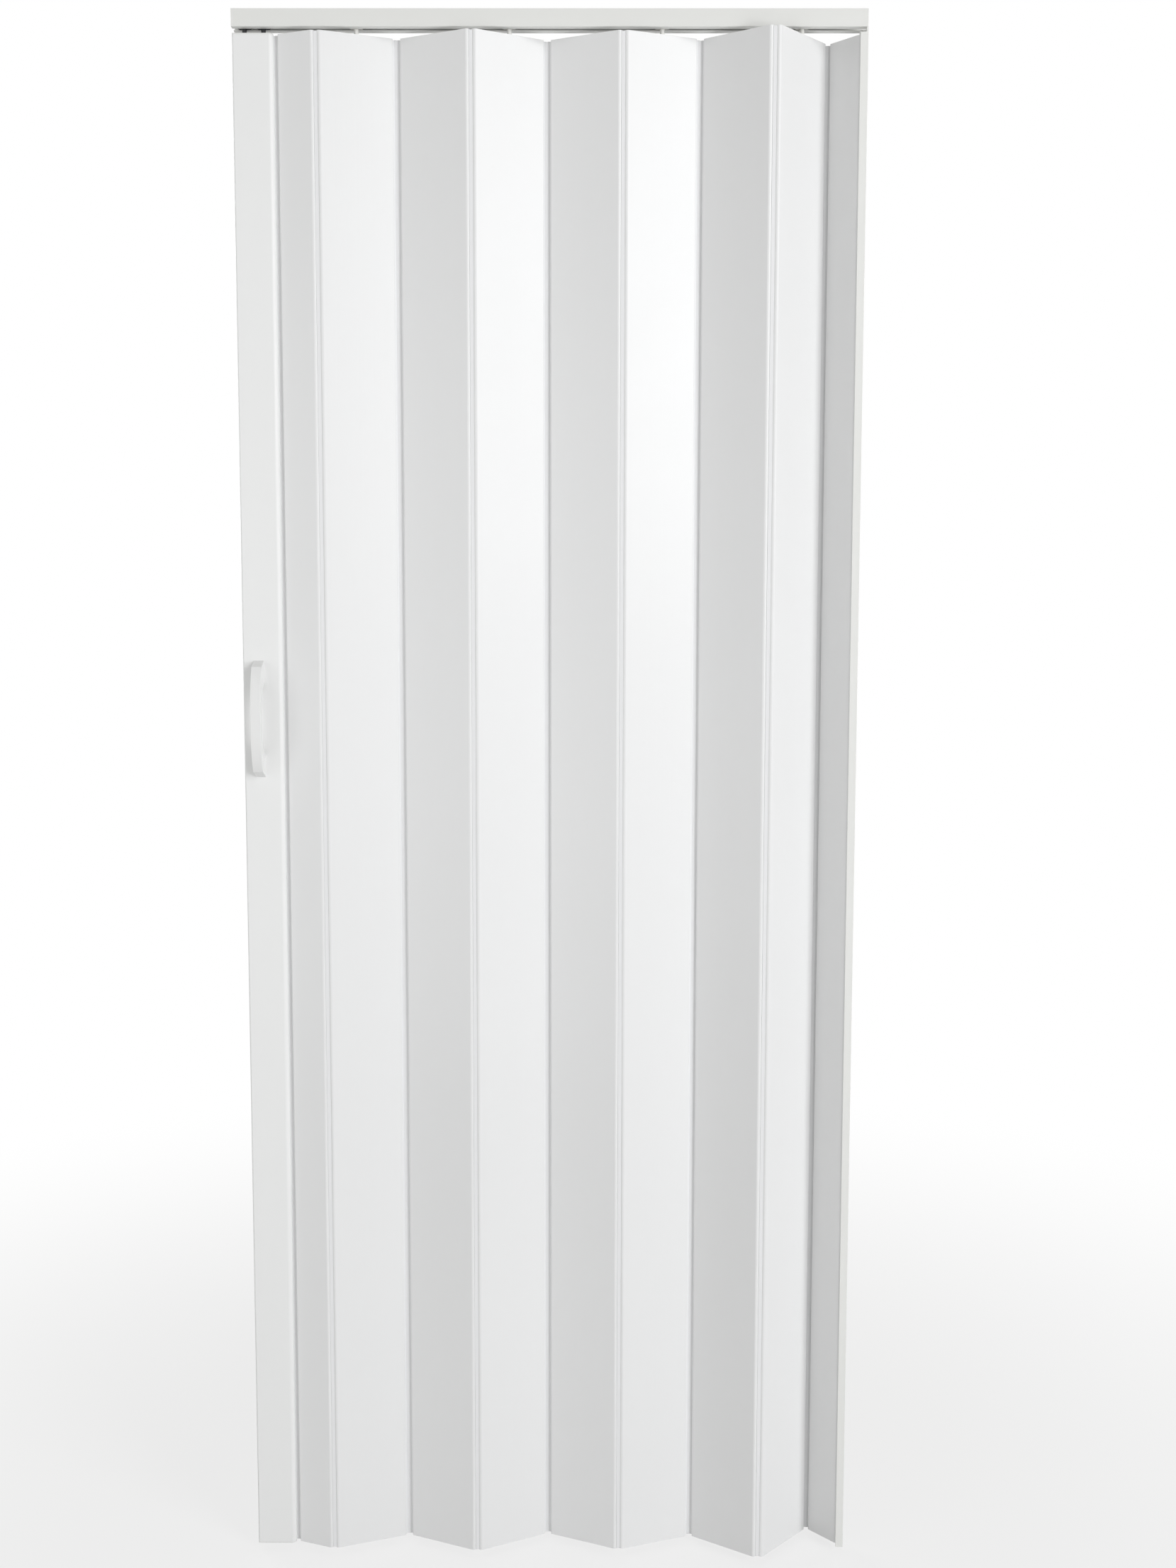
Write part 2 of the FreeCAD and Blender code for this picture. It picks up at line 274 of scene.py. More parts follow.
def makePlastic(name, look, overRibs=False):
    material = bpy.data.materials.new(name)
    material.use_nodes = True
    tree = material.node_tree
    tree.nodes.clear()
    place = putNode(tree, "ShaderNodeTexCoord").outputs["Object"]
    tone = addNoise(tree, place, look["toneSize"], plasticFinish["toneDetail"])
    base = look["colour"]
    swing = look["tone"]
    lighter = [min(1, part * (1 + swing)) for part in base] + [1]
    darker = [part * (1 - swing) for part in base] + [1]
    toneLow, toneHigh = plasticFinish["toneRange"]
    spread = putNode(
        tree, "ShaderNodeMapRange", {"Value": tone, "From Min": toneLow, "From Max": toneHigh}
    )
    colour = putNode(
        tree,
        "ShaderNodeMix",
        {"Factor": spread.outputs["Result"], "A": darker, "B": lighter},
        data_type="RGBA",
    )
    smudge = addNoise(tree, place, plasticFinish["smudgeSize"], plasticFinish["fineDetail"])
    smudgeLow, smudgeHigh = plasticFinish["smudgeRange"]
    rough = putNode(
        tree,
        "ShaderNodeMapRange",
        {
            "Value": smudge,
            "From Min": smudgeLow,
            "From Max": smudgeHigh,
            "To Min": look["rough"] - look["roughSwing"] / 2,
            "To Max": look["rough"] + look["roughSwing"],
        },
    )
    drawn = putNode(tree, "ShaderNodeMapping", {"Vector": place, "Scale": look["grain"]}).outputs[0]
    grain = addNoise(tree, drawn, 1, plasticFinish["fineDetail"])
    bump = putNode(
        tree,
        "ShaderNodeBump",
        {"Height": grain, "Strength": look["grainBump"], "Distance": plasticFinish["grainDepth"]},
    )
    shader = putNode(
        tree,
        "ShaderNodeBsdfPrincipled",
        {
            "Base Color": colour.outputs["Result"],
            "Roughness": rough.outputs["Result"],
            "Normal": bump.outputs["Normal"],
            "Specular IOR Level": look["specular"],
            "Coat Weight": look["coat"],
            "Coat Roughness": plasticFinish["coatRough"],
        },
    )
    if overRibs:
        addSinkLines(tree, shader, bump)
    putNode(tree, "ShaderNodeOutputMaterial", {"Surface": shader.outputs["BSDF"]})
    return material


# Faint lines over the ribs inside a slat, where the skin sinks a little
def addSinkLines(tree, shader, bump):
    ribWay = putNode(tree, "ShaderNodeAttribute", attribute_name="ribWay")
    split = putNode(tree, "ShaderNodeSeparateXYZ", {"Vector": ribWay.outputs["Vector"]}).outputs
    fromFirst = doMath(tree, "SUBTRACT", doMath(tree, "ABSOLUTE", split["X"]), split["Y"])
    fromRib = doMath(tree, "PINGPONG", fromFirst, halfCell)
    line = putNode(
        tree,
        "ShaderNodeMapRange",
        {
            "Value": fromRib,
            "From Min": sinkLine["inner"],
            "From Max": sinkLine["outer"],
            "To Min": 1,
            "To Max": 0,
        },
        interpolation_type="SMOOTHSTEP",
    )
    sunk = putNode(
        tree,
        "ShaderNodeBump",
        {
            "Height": line.outputs["Result"],
            "Strength": sinkLine["strength"],
            "Distance": sinkLine["depth"],
            "Normal": bump.outputs["Normal"],
        },
        invert=True,
    )
    tree.links.new(sunk.outputs["Normal"], shader.inputs["Normal"])


def makeZinc():
    material = bpy.data.materials.new("zincPlate")
    material.use_nodes = True
    tree = material.node_tree
    shader = tree.nodes["Principled BSDF"]
    place = putNode(tree, "ShaderNodeTexCoord").outputs["Object"]
    mottle = addNoise(tree, place, zinc["mottleSize"], zinc["mottleDetail"])
    colour = putNode(
        tree,
        "ShaderNodeMix",
        {"Factor": mottle, "A": zinc["dark"], "B": zinc["light"]},
        data_type="RGBA",
    )
    smooth, coarse = zinc["roughRange"]
    rough = putNode(
        tree, "ShaderNodeMapRange", {"Value": mottle, "To Min": smooth, "To Max": coarse}
    )
    tree.links.new(colour.outputs["Result"], shader.inputs["Base Color"])
    tree.links.new(rough.outputs["Result"], shader.inputs["Roughness"])
    shader.inputs["Metallic"].default_value = 1
    return material


# Slats

slat = {
    "socketRadius": 1.96 * mm, "webRoom": 0.85 * mm, "foldedAngle": 88, "socketWall": 1.4 * mm,
    "skin": 1.1 * mm, "rib": 0.8 * mm, "cells": 3, "portRadius": 1.9 * mm, "portWall": 1.2 * mm,
    "mouthRound": 1.8 * mm, "mouthSteps": 6, "outerSteps": 14, "socketSteps": 14, "portSteps": 28,
    "weldGap": 0.01 * mm, "edge": 0.3 * mm,
}


def polar(radius, degrees):
    angle = math.radians(degrees)
    return Vector((radius * math.cos(angle), radius * math.sin(angle)))


def arc(centre, radius, start, end, steps):
    turns = [start + (end - start) * step / steps for step in range(steps + 1)]
    return [centre + polar(radius, turn) for turn in turns]


# The pivots of each slat, from the frame's joints
def slatPivots(name):
    place = slatNames.index(name)
    leftJoint = "turn_strip_" + slatNames[place - 1] + name if place else "turn_leading_post"
    return joints[leftJoint], joints["fold_slat_" + name]


def slatTurn(name):
    left, right = slatPivots(name)
    return math.degrees(math.atan2(right.y - left.y, right.x - left.x))


# Half the slat's thickness, from the depth of its box
def slatRadius(name):
    low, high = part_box("slat_" + name)
    left, right = slatPivots(name)
    return (high.y - low.y - abs(right.y - left.y)) / 2


leastTurn = min(abs(slatTurn(name)) for name in slatNames)
edgeRadius = slatRadius("b")
slatLow, slatHigh = (corner.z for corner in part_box("slat_b"))


# One end round its pivot: from the top face into the mouth, round the socket, out to the lower face
def slatEnd():
    room = slat["webRoom"]
    folded = 180 - slat["foldedAngle"]
    closed = 180 - leastTurn
    foldedSide = polar(room, folded - 90)
    topReach = (edgeRadius - foldedSide.y) / math.sin(math.radians(folded))
    slant = math.degrees(math.asin(room / slat["socketRadius"]))
    outerSlant = math.degrees(math.asin(room / edgeRadius))
    middle = Vector((0, 0))
    rounding = slat["mouthRound"]
    corner = foldedSide + polar(topReach, folded)
    inwards = rounding / math.tan(math.radians(slat["foldedAngle"] / 2))
    cornerMiddle = corner + Vector((inwards, -rounding))
    points = arc(cornerMiddle, rounding, 90, folded + 90, slat["mouthSteps"])
    socketEnds = (folded - slant, closed + slant - 360)
    points += arc(middle, slat["socketRadius"], *socketEnds, slat["socketSteps"])
    points += arc(middle, edgeRadius, closed + outerSlant, 270, slat["outerSteps"])
    return points


def slatOutline(length, side):
    half = length / 2
    left = [point + Vector((-half, 0)) for point in slatEnd()]
    points = left + [-point for point in left]
    return points if side > 0 else [Vector((point.x, -point.y)) for point in reversed(points)]


# A closed loop of edges at height zero, which the tree fills and draws up
def loopMesh(name, points):
    mesh = bpy.data.meshes.new(name)
    count = len(points)
    edges = [(place, (place + 1) % count) for place in range(count)]
    mesh.from_pydata([(point.x, point.y, 0) for point in points], edges, [])
    return mesh


# Tree that makes an extruded section: the outline filled, less its cells and port, drawn to length,
# turned and set in place. "ribWay" keeps how many cells a point is from the middle, and where the
# ribs start.
def extrusionTree():
    sizes = ["Height", "Foot", "Turn", "Place X", "Place Y", "First Cell", "Cell Pitch"]
    sizes += ["Cell Width", "Cell Depth", "Port Radius"]
    inputs = [("Outline", "Geometry")] + [(size, "Float") for size in sizes]
    inputs += [("Cell Count", "Int"), ("Port And Second Row", "Bool"), ("Material", "Material")]
    tree = newTree("extrudedSection", inputs, "Section")
    given = putNode(tree, "NodeGroupInput").outputs
    outline = putNode(tree, "GeometryNodeMeshToCurve", {"Mesh": given["Outline"]})
    start = putNode(tree, "ShaderNodeCombineXYZ", {"X": given["First Cell"]})
    pitch = putNode(tree, "ShaderNodeCombineXYZ", {"X": given["Cell Pitch"]})
    row = putNode(
        tree,
        "GeometryNodeMeshLine",
        {
            "Count": given["Cell Count"],
            "Start Location": start.outputs[0],
            "Offset": pitch.outputs[0],
        },
    )
    cell = putNode(
        tree,
        "GeometryNodeCurvePrimitiveQuadrilateral",
        {"Width": given["Cell Width"], "Height": given["Cell Depth"]},
    )
    cells = putNode(
        tree,
        "GeometryNodeInstanceOnPoints",
        {"Points": row.outputs["Mesh"], "Instance": cell.outputs["Curve"]},
    ).outputs["Instances"]
    otherCells = putNode(
        tree, "GeometryNodeTransform", {"Geometry": cells, "Rotation": (0, 0, math.pi)}
    )
    port = putNode(
        tree,
        "GeometryNodeCurvePrimitiveCircle",
        {"Resolution": slat["portSteps"], "Radius": given["Port Radius"]},
    )
    second = joinNode(tree, otherCells.outputs["Geometry"], port.outputs["Curve"])
    chosen = putNode(
        tree,
        "GeometryNodeSwitch",
        {"Switch": given["Port And Second Row"], "True": second},
        input_type="GEOMETRY",
    )
    allLoops = joinNode(tree, outline.outputs["Curve"], cells, chosen.outputs["Output"])
    loops = putNode(tree, "GeometryNodeRealizeInstances", {"Geometry": allLoops})
    filled = putNode(
        tree, "GeometryNodeFillCurve", {"Curve": loops.outputs["Geometry"]}, mode="NGONS"
    )
    drawn = putNode(
        tree,
        "GeometryNodeExtrudeMesh",
        {
            "Mesh": filled.outputs["Mesh"],
            "Offset": (0, 0, 1),
            "Offset Scale": given["Height"],
            "Individual": False,
        },
        mode="FACES",
    )
    under = putNode(tree, "GeometryNodeFlipFaces", {"Mesh": filled.outputs["Mesh"]})
    joined = joinNode(tree, drawn.outputs["Mesh"], under.outputs["Mesh"])
    merged = putNode(
        tree, "GeometryNodeMergeByDistance", {"Geometry": joined, "Distance": slat["weldGap"]}
    )
    smooth = putNode(
        tree,
        "GeometryNodeSetShadeSmooth",
        {"Geometry": merged.outputs["Geometry"], "Shade Smooth": True},
    )
    edgeAngle = putNode(tree, "GeometryNodeInputMeshEdgeAngle")
    sharp = putNode(
        tree,
        "FunctionNodeCompare",
        {"A": edgeAngle.outputs["Unsigned Angle"], "B": shading["crispAngle"]},
        data_type="FLOAT",
        operation="GREATER_THAN",
    )
    crisp = putNode(
        tree,
        "GeometryNodeSetShadeSmooth",
        {
            "Geometry": smooth.outputs["Geometry"],
            "Selection": sharp.outputs["Result"],
            "Shade Smooth": False,
        },
        domain="EDGE",
    )
    position = putNode(tree, "GeometryNodeInputPosition")
    parts = putNode(tree, "ShaderNodeSeparateXYZ", {"Vector": position.outputs["Position"]})
    cellsAway = doMath(tree, "DIVIDE", parts.outputs["X"], given["Cell Pitch"])
    firstAway = doMath(tree, "DIVIDE", given["First Cell"], given["Cell Pitch"])
    ribStart = doMath(tree, "SUBTRACT", firstAway, halfCell)
    ribWay = putNode(tree, "ShaderNodeCombineXYZ", {"X": cellsAway, "Y": ribStart})
    marked = putNode(
        tree,
        "GeometryNodeStoreNamedAttribute",
        {
            "Geometry": crisp.outputs["Geometry"],
            "Name": "ribWay",
            "Value": ribWay.outputs[0],
        },
        data_type="FLOAT_VECTOR",
        domain="POINT",
    )
    turn = putNode(tree, "ShaderNodeCombineXYZ", {"Z": given["Turn"]})
    place = putNode(
        tree,
        "ShaderNodeCombineXYZ",
        {"X": given["Place X"], "Y": given["Place Y"], "Z": given["Foot"]},
    )
    stood = putNode(
        tree,
        "GeometryNodeTransform",
        {
            "Geometry": marked.outputs["Geometry"],
            "Rotation": turn.outputs[0],
            "Translation": place.outputs[0],
        },
    )
    endTree(tree, "Section", stood.outputs["Geometry"], given["Material"])
    return tree


# Runs a tree on a base mesh and gives the plain mesh that comes out
def growMesh(tree, base, values):
    host = bpy.data.objects.new("growing", base)
    scene.collection.objects.link(host)
    grown = host.modifiers.new("grown", "NODES")
    grown.node_group = tree
    inputs = [item for item in tree.interface.items_tree if item.in_out == "INPUT"]
    sockets = {item.name: item.identifier for item in inputs}
    for name, value in values.items():
        grown[sockets[name]] = value
    mesh = plainMesh(host)
    host.modifiers.remove(grown)
    bpy.data.objects.remove(host)
    return mesh


def makeSlat(tree, name, material):
    left, right = slatPivots(name)
    length = (right - left).length
    full = name not in (slatNames[0], slatNames[-1])
    cellEnd = length / 2 - slat["socketRadius"] - slat["socketWall"]
    cellStart = slat["portRadius"] + slat["portWall"] if full else -cellEnd
    pitch = (cellEnd - cellStart + slat["rib"]) / slat["cells"]
    side = 1 if slatTurn(name) > 0 else -1
    middle = (left + right) / 2
    mesh = growMesh(
        tree,
        loopMesh("slatLoop", slatOutline(length, side)),
        {
            "Height": slatHigh - slatLow,
            "Foot": slatLow,
            "Turn": math.radians(slatTurn(name)),
            "Place X": middle.x,
            "Place Y": middle.y,
            "First Cell": cellStart + (pitch - slat["rib"]) / 2,
            "Cell Pitch": pitch,
            "Cell Width": pitch - slat["rib"],
            "Cell Depth": 2 * (edgeRadius - slat["skin"]),
            "Port Radius": slat["portRadius"],
            "Cell Count": slat["cells"],
            "Port And Second Row": full,
            "Material": material,
        },
    )
    mesh.name = "slat" + name.upper()
    piece = addPiece("slat" + name.upper(), mesh, None, "slat_" + name, "slat", "slat_" + name)
    roundEdges(piece, slat["edge"])


sectionTree = extrusionTree()
slatMaterial = makePlastic("slatPlastic", plastics["slat"], overRibs=True)
for slatName in slatNames:
    makeSlat(sectionTree, slatName, slatMaterial)
print("slats drawn")

# Hinge strips

strip = {
    "beadRadius": 1.9 * mm, "webThickness": 1.1 * mm, "ribWidth": 4.8 * mm, "ribHeight": 4.3 * mm,
    "ribRoom": 0.15 * mm, "beadSteps": 18, "hollowSteps": 8, "edge": 0.25 * mm,
}


def stripOutline(beside):
    left, right = (Vector((x, 0)) for x in (-beadSpacing / 2, beadSpacing / 2))
    webHalf = strip["webThickness"] / 2
    swing = edgeRadius + strip["ribRoom"]
    half = strip["ribWidth"] / 2
    height = strip["ribHeight"]
    neck = math.degrees(math.asin(webHalf / strip["beadRadius"]))
    hollowLow = math.degrees(math.asin(webHalf / swing))
    hollowHigh = math.degrees(math.acos((right.x - half) / swing))
    rightBead = arc(right, strip["beadRadius"], neck - 180, 180 - neck, strip["beadSteps"])
    leftBead = arc(left, strip["beadRadius"], neck, 360 - neck, strip["beadSteps"])
    rightHollow = arc(right, swing, 180 - hollowLow, 180 - hollowHigh, strip["hollowSteps"])
    leftHollow = [Vector((-point.x, point.y)) for point in reversed(rightHollow)]
    crown = [Vector((half, height)), Vector((-half, height))]
    if beside:
        stem = beadSpacing / 2 - swing
        crown[1].x = -stem
        leftHollow = [Vector((-stem, webHalf))]
    return rightBead + rightHollow + crown + leftHollow + leftBead


def makeStrip(tree, name, body, left, side, material, beside=False):
    points = stripOutline(beside)
    if side < 0:
        points = [-point for point in points]
    low, high = (corner.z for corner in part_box(name))
    mesh = growMesh(
        tree,
        loopMesh("stripLoop", points),
        {
            "Height": high - low,
            "Foot": low,
            "Turn": 0.0,
            "Place X": left.x + beadSpacing / 2,
            "Place Y": left.y,
            "Cell Count": 0,
            "Port And Second Row": False,
            "Material": material,
        },
    )
    label = "strip" + "".join(word.capitalize() for word in name.split("_")[2:])
    mesh.name = label
    roundEdges(addPiece(label, mesh, None, body, "strip", name), strip["edge"])


beadSpacing = (slatPivots("b")[0] - slatPivots("a")[1]).length
stripMaterial = makePlastic("stripPlastic", plastics["strip"])
for before, after in zip(slatNames, slatNames[1:]):
    stripSide = 1 if slatTurn(before) > 0 else -1
    bodyName = "strip_" + before + after
    leftBead = slatPivots(before)[1]
    makeStrip(sectionTree, "hinge_" + bodyName, bodyName, leftBead, stripSide, stripMaterial)
leadBead = slatPivots("a")[0] - Vector((beadSpacing, 0, 0))
makeStrip(sectionTree, "hinge_strip_lead", "leading_post", leadBead, 1, stripMaterial, beside=True)
print("hinge strips drawn")

# Track, wall post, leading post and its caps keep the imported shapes, merged, with softened edges

shells = {
    "header_track": {"label": "headerTrack", "body": "frame", "slot": "track", "edge": 0.25 * mm},
    "wall_post": {"label": "wallPost", "body": "frame", "slot": "track", "edge": 0.25 * mm},
    "lead_post": {"label": "leadPost", "body": "leading_post", "slot": "post", "edge": 0.25 * mm},
    "lead_post_top_cap": {
        "label": "leadPostTopCap", "body": "leading_post", "slot": "cap", "edge": 0.3 * mm,
    },
    "lead_post_bottom_cap": {
        "label": "leadPostBottomCap", "body": "leading_post", "slot": "cap", "edge": 0.3 * mm,
    },
}
packedMesh = {"weldGap": 0.002 * mm, "flatAngle": math.radians(0.5)}


def mergedCopy(node, label):
    mesh = frame["nodes"][node].data.copy()
    mesh.name = label
    work = bmesh.new()
    work.from_mesh(mesh)
    bmesh.ops.remove_doubles(work, verts=work.verts, dist=packedMesh["weldGap"])
    bmesh.ops.dissolve_limit(
        work, angle_limit=packedMesh["flatAngle"], verts=work.verts, edges=work.edges
    )
    shadeByAngle(work)
    return storeMesh(work, mesh)


shellMaterials = {}
for node, spec in shells.items():
    slot = spec["slot"]
    if slot not in shellMaterials:
        shellMaterials[slot] = makePlastic(slot + "Plastic", plastics[slot])
    shellMesh = mergedCopy(node, spec["label"])
    shell = addPiece(spec["label"], shellMesh, shellMaterials[slot], spec["body"], slot, node)
    roundEdges(shell, spec["edge"])
print("track, posts and caps dressed")

# Handles

handle = {
    "lean": 8 * mm, "endReach": 18 * mm, "gapHeight": 100 * mm, "gapReach": 20 * mm,
    "fullness": 3.5, "steps": 36, "rounding": 2.6 * mm, "roundSteps": 6, "wellRadius": 3.9 * mm,
    "seat": 10 * mm, "throughRadius": 2.25 * mm, "blindRadius": 2.05 * mm, "screwBite": 12 * mm,
    "boreSteps": 32, "overrun": 1 * mm, "cornerAngle": math.radians(30), "atFace": 0.01 * mm,
}
screw = {
    "count": 2, "shankRadius": 2 * mm, "tipRadius": 1.2 * mm, "tipLength": 1 * mm,
    "headRadius": 3.6 * mm, "headHeight": 2.4 * mm, "headRound": 1.5 * mm, "steps": 40,
    "domeSteps": 6, "crossLength": 4.2 * mm, "crossWidth": 0.95 * mm, "crossDepth": 1.5 * mm,
    "crossRise": 0.375 * mm, "crossTaper": 0.45,
}


# Points of a bow from its top end to its foot: full in the middle and steep at the ends
def bowPoints(height, endReach, reach):
    points = []
    for step in range(handle["steps"] + 1):
        share = math.cos(math.pi * step / handle["steps"])
        stand = endReach + (reach - endReach) * (1 - abs(share) ** handle["fullness"])
        points.append((stand, share * height / 2))
    return points


def handleMesh(low, high, side):
    height = high.z - low.z
    reach = high.y - low.y
    face = high.y if side < 0 else low.y
    middle = (low.z + high.z) / 2
    bow = bowPoints(height - 2 * handle["lean"], handle["endReach"], reach)
    gap = bowPoints(handle["gapHeight"], 0, handle["gapReach"])
    outline = [(0, height / 2)] + bow + [(0, -height / 2)] + gap[::-1]
    work = bmesh.new()
    rings = []
    for x in (low.x, high.x):
        rings.append([work.verts.new((x, face + side * out, middle + up)) for out, up in outline])
    closeRings(work, *rings)
    soft = work.edges.layers.float.new("bevel_weight_edge")
    for edge in work.edges:
        onPost = all(abs(vert.co.y - face) < handle["atFace"] for vert in edge.verts)
        corner = edge.calc_face_angle(0) > handle["cornerAngle"]
        edge[soft] = 1.0 if corner and not onPost else 0.0
    return storeMesh(work, bpy.data.meshes.new("handle"))


# A round bore away from the post's face, over each screw
def boreCutters(radius, start, end, face, side):
    low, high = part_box("handle_screws")
    head = screw["headRadius"]
    cutters = []
    for level in (low.z + head, high.z - head):
        profile = [(0, start), (radius, start), (radius, end), (0, end)]
        bore = turnedMesh("bore", profile, handle["boreSteps"])
        bore.transform(Matrix.Rotation(math.radians(-90 * side), 4, "X"))
        bore.transform(Matrix.Translation(((low.x + high.x) / 2, face, level)))
        cutters.append(bore)
    return cutters


def makeHandle(node, label, side, material):
    low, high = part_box(node)
    face = high.y if side < 0 else low.y
    overrun = handle["overrun"]
    seat = handle["seat"]
    if side < 0:
        cutters = boreCutters(handle["blindRadius"], -overrun, handle["screwBite"], face, side)
    else:
        cutters = boreCutters(handle["throughRadius"], -overrun, seat + overrun, face, side)
        cutters += boreCutters(handle["wellRadius"], seat, high.y - low.y, face, side)
    solid = handleMesh(low, high, side)
    mesh = carvedMesh(solid, cutters, handle["rounding"], handle["roundSteps"])
    mesh.name = label
    piece = addPiece(label, mesh, material, "leading_post", "handle", node)
    weighNormals(piece, keep_sharp=True)


handleMaterial = makePlastic("handlePlastic", plastics["handle"])
makeHandle("handle_front", "handleFront", -1, handleMaterial)
makeHandle("handle_rear", "handleRear", 1, handleMaterial)
print("handles shaped")

# Hanger pins and the handles' screws: one turned shape each, set in rows by a tree

pin = {
    "plugRadius": 1.85 * mm, "plugDepth": 24 * mm, "tip": 0.5 * mm, "stemRadius": 3 * mm,
    "headEdge": 1 * mm, "headThickness": 4 * mm, "steps": 48, "postPlaces": (15 * mm, 40 * mm),
    "edge": 0.2 * mm,
}


def rowTree():
    inputs = [("Shape", "Geometry"), ("Count", "Int"), ("First", "Vector"), ("Step", "Vector")]
    tree = newTree("hardwareRow", inputs + [("Material", "Material")], "Row")
    given = putNode(tree, "NodeGroupInput").outputs
    line = putNode(
        tree,
        "GeometryNodeMeshLine",
        {"Count": given["Count"], "Start Location": given["First"], "Offset": given["Step"]},
    )
    row = putNode(
        tree,
        "GeometryNodeInstanceOnPoints",
        {"Points": line.outputs["Mesh"], "Instance": given["Shape"]},
    )
    endTree(tree, "Row", row.outputs["Instances"], given["Material"])
    return tree


def pinMesh(headRadius, height):
    headLow = height - pin["headThickness"]
    edge = pin["headEdge"]
    profile = [
        (0, -pin["plugDepth"]),
        (pin["plugRadius"] - pin["tip"], -pin["plugDepth"]),
        (pin["plugRadius"], pin["tip"] - pin["plugDepth"]),
        (pin["plugRadius"], 0),
        (pin["stemRadius"], 0),
        (pin["stemRadius"], headLow),
        (headRadius - edge, headLow),
        (headRadius, headLow + edge),
        (headRadius, height - edge),
        (headRadius - edge, height),
        (0, height),
    ]
    return turnedMesh("hangerPin", profile, pin["steps"])


def makePins(tree, node, label, body, places, material):
    low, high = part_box(node)
    headRadius = (high.y - low.y) / 2
    level = low.z + pin["plugDepth"]
    step = (places[1] - places[0]) if len(places) > 1 else 0
    values = {
        "Count": len(places),
        "First": (places[0], (low.y + high.y) / 2, level),
        "Step": (step, 0.0, 0.0),
        "Material": material,
    }
    mesh = growMesh(tree, pinMesh(headRadius, high.z - level), values)
    mesh.name = label
    roundEdges(addPiece(label, mesh, None, body, "hanger", node), pin["edge"])


# A tapered bar across the screw's head, for the cross recess
def recessBar(turn, top):
    work = bmesh.new()
    rings = []
    ends = [(screw["crossTaper"], top - screw["crossDepth"]), (1, top + screw["crossRise"])]
    for share, height in ends:
        length = screw["crossLength"] * share / 2
        width = screw["crossWidth"] * (1 + share) / 4  # tapers half as much as the length does
        corners = [(-length, -width), (length, -width), (length, width), (-length, width)]
        rings.append([work.verts.new((x, y, height)) for x, y in corners])
    closeRings(work, *rings)
    mesh = storeMesh(work, bpy.data.meshes.new("recessBar"))
    mesh.transform(Matrix.Rotation(turn, 4, "Z"))
    return mesh


def screwMesh(length):
    seat = length - screw["headHeight"]
    rounding = screw["headRound"]
    flat = screw["headRadius"] - rounding
    dome = arc(Vector((flat, length - rounding)), rounding, 0, 90, screw["domeSteps"])
    shank = screw["shankRadius"]
    profile = [(0, 0), (screw["tipRadius"], 0), (shank, screw["tipLength"]), (shank, seat)]
    profile += [(screw["headRadius"], seat)] + [tuple(point) for point in dome] + [(0, length)]
    plain = turnedMesh("handleScrew", profile, screw["steps"])
    mesh = carvedMesh(plain, [recessBar(0, length), recessBar(math.pi / 2, length)])
    mesh.transform(Matrix.Rotation(math.radians(-90), 4, "X"))
    return mesh


hardwareTree = rowTree()
nylon = makePlastic("whiteNylon", plastics["nylon"])
darkNylonPaintedShade = makePlastic("darkNylonPaintedShade", plastics["darkNylonPaintedShade"])
for slatName in slatNames[1::2]:
    node = "hanger_pin_" + slatName
    low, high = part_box(node)
    label = "hangerPin" + slatName.upper()
    makePins(hardwareTree, node, label, "slat_" + slatName, [(low.x + high.x) / 2], nylon)
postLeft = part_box("lead_post")[0].x
postPins = [postLeft + place for place in pin["postPlaces"]]
# The leading post's pins in near-black nylon: partly painted shade for the gap over the post
node = "lead_post_hanger_pins"
makePins(hardwareTree, node, "leadPostHangerPins", "leading_post", postPins, darkNylonPaintedShade)

low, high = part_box("handle_screws")
screwRise = high.z - low.z - 2 * screw["headRadius"]
screwValues = {
    "Count": screw["count"],
    "First": ((low.x + high.x) / 2, low.y, low.z + screw["headRadius"]),
    "Step": (0.0, 0.0, screwRise),
    "Material": makeZinc(),
}
screws = growMesh(hardwareTree, screwMesh(high.y - low.y), screwValues)
screws.name = "handleScrews"
addPiece("handleScrews", screws, None, "leading_post", "screw", "handle_screws")
print("hanger pins and screws set")

# Camera at the photograph's place

shot = {
    "place": (0.061, -2.2348, -0.8019), "pitch": -5.4366, "yaw": 0.232, "roll": 0.1007,
    "lens": 37.72, "sensor": 36,
}


def setCamera():
    data = bpy.data.cameras.new("shot")
    data.lens = shot["lens"]
    data.sensor_width = shot["sensor"]
    camera = bpy.data.objects.new("shot", data)
    yaw = Matrix.Rotation(math.radians(shot["yaw"]), 4, "Z")
    pitch = Matrix.Rotation(math.radians(90 + shot["pitch"]), 4, "X")
    roll = Matrix.Rotation(math.radians(shot["roll"]), 4, "Z")
    camera.matrix_world = Matrix.Translation(shot["place"]) @ yaw @ pitch @ roll
    scene.collection.objects.link(camera)
    scene.camera = camera
    scene.view_settings.view_transform = "Standard"


# Soft light: a bright room, a tall soft box on the right, a low one under it that leaves no gloss,
# a fill on the left, and a soft box and a fill behind, for the other side

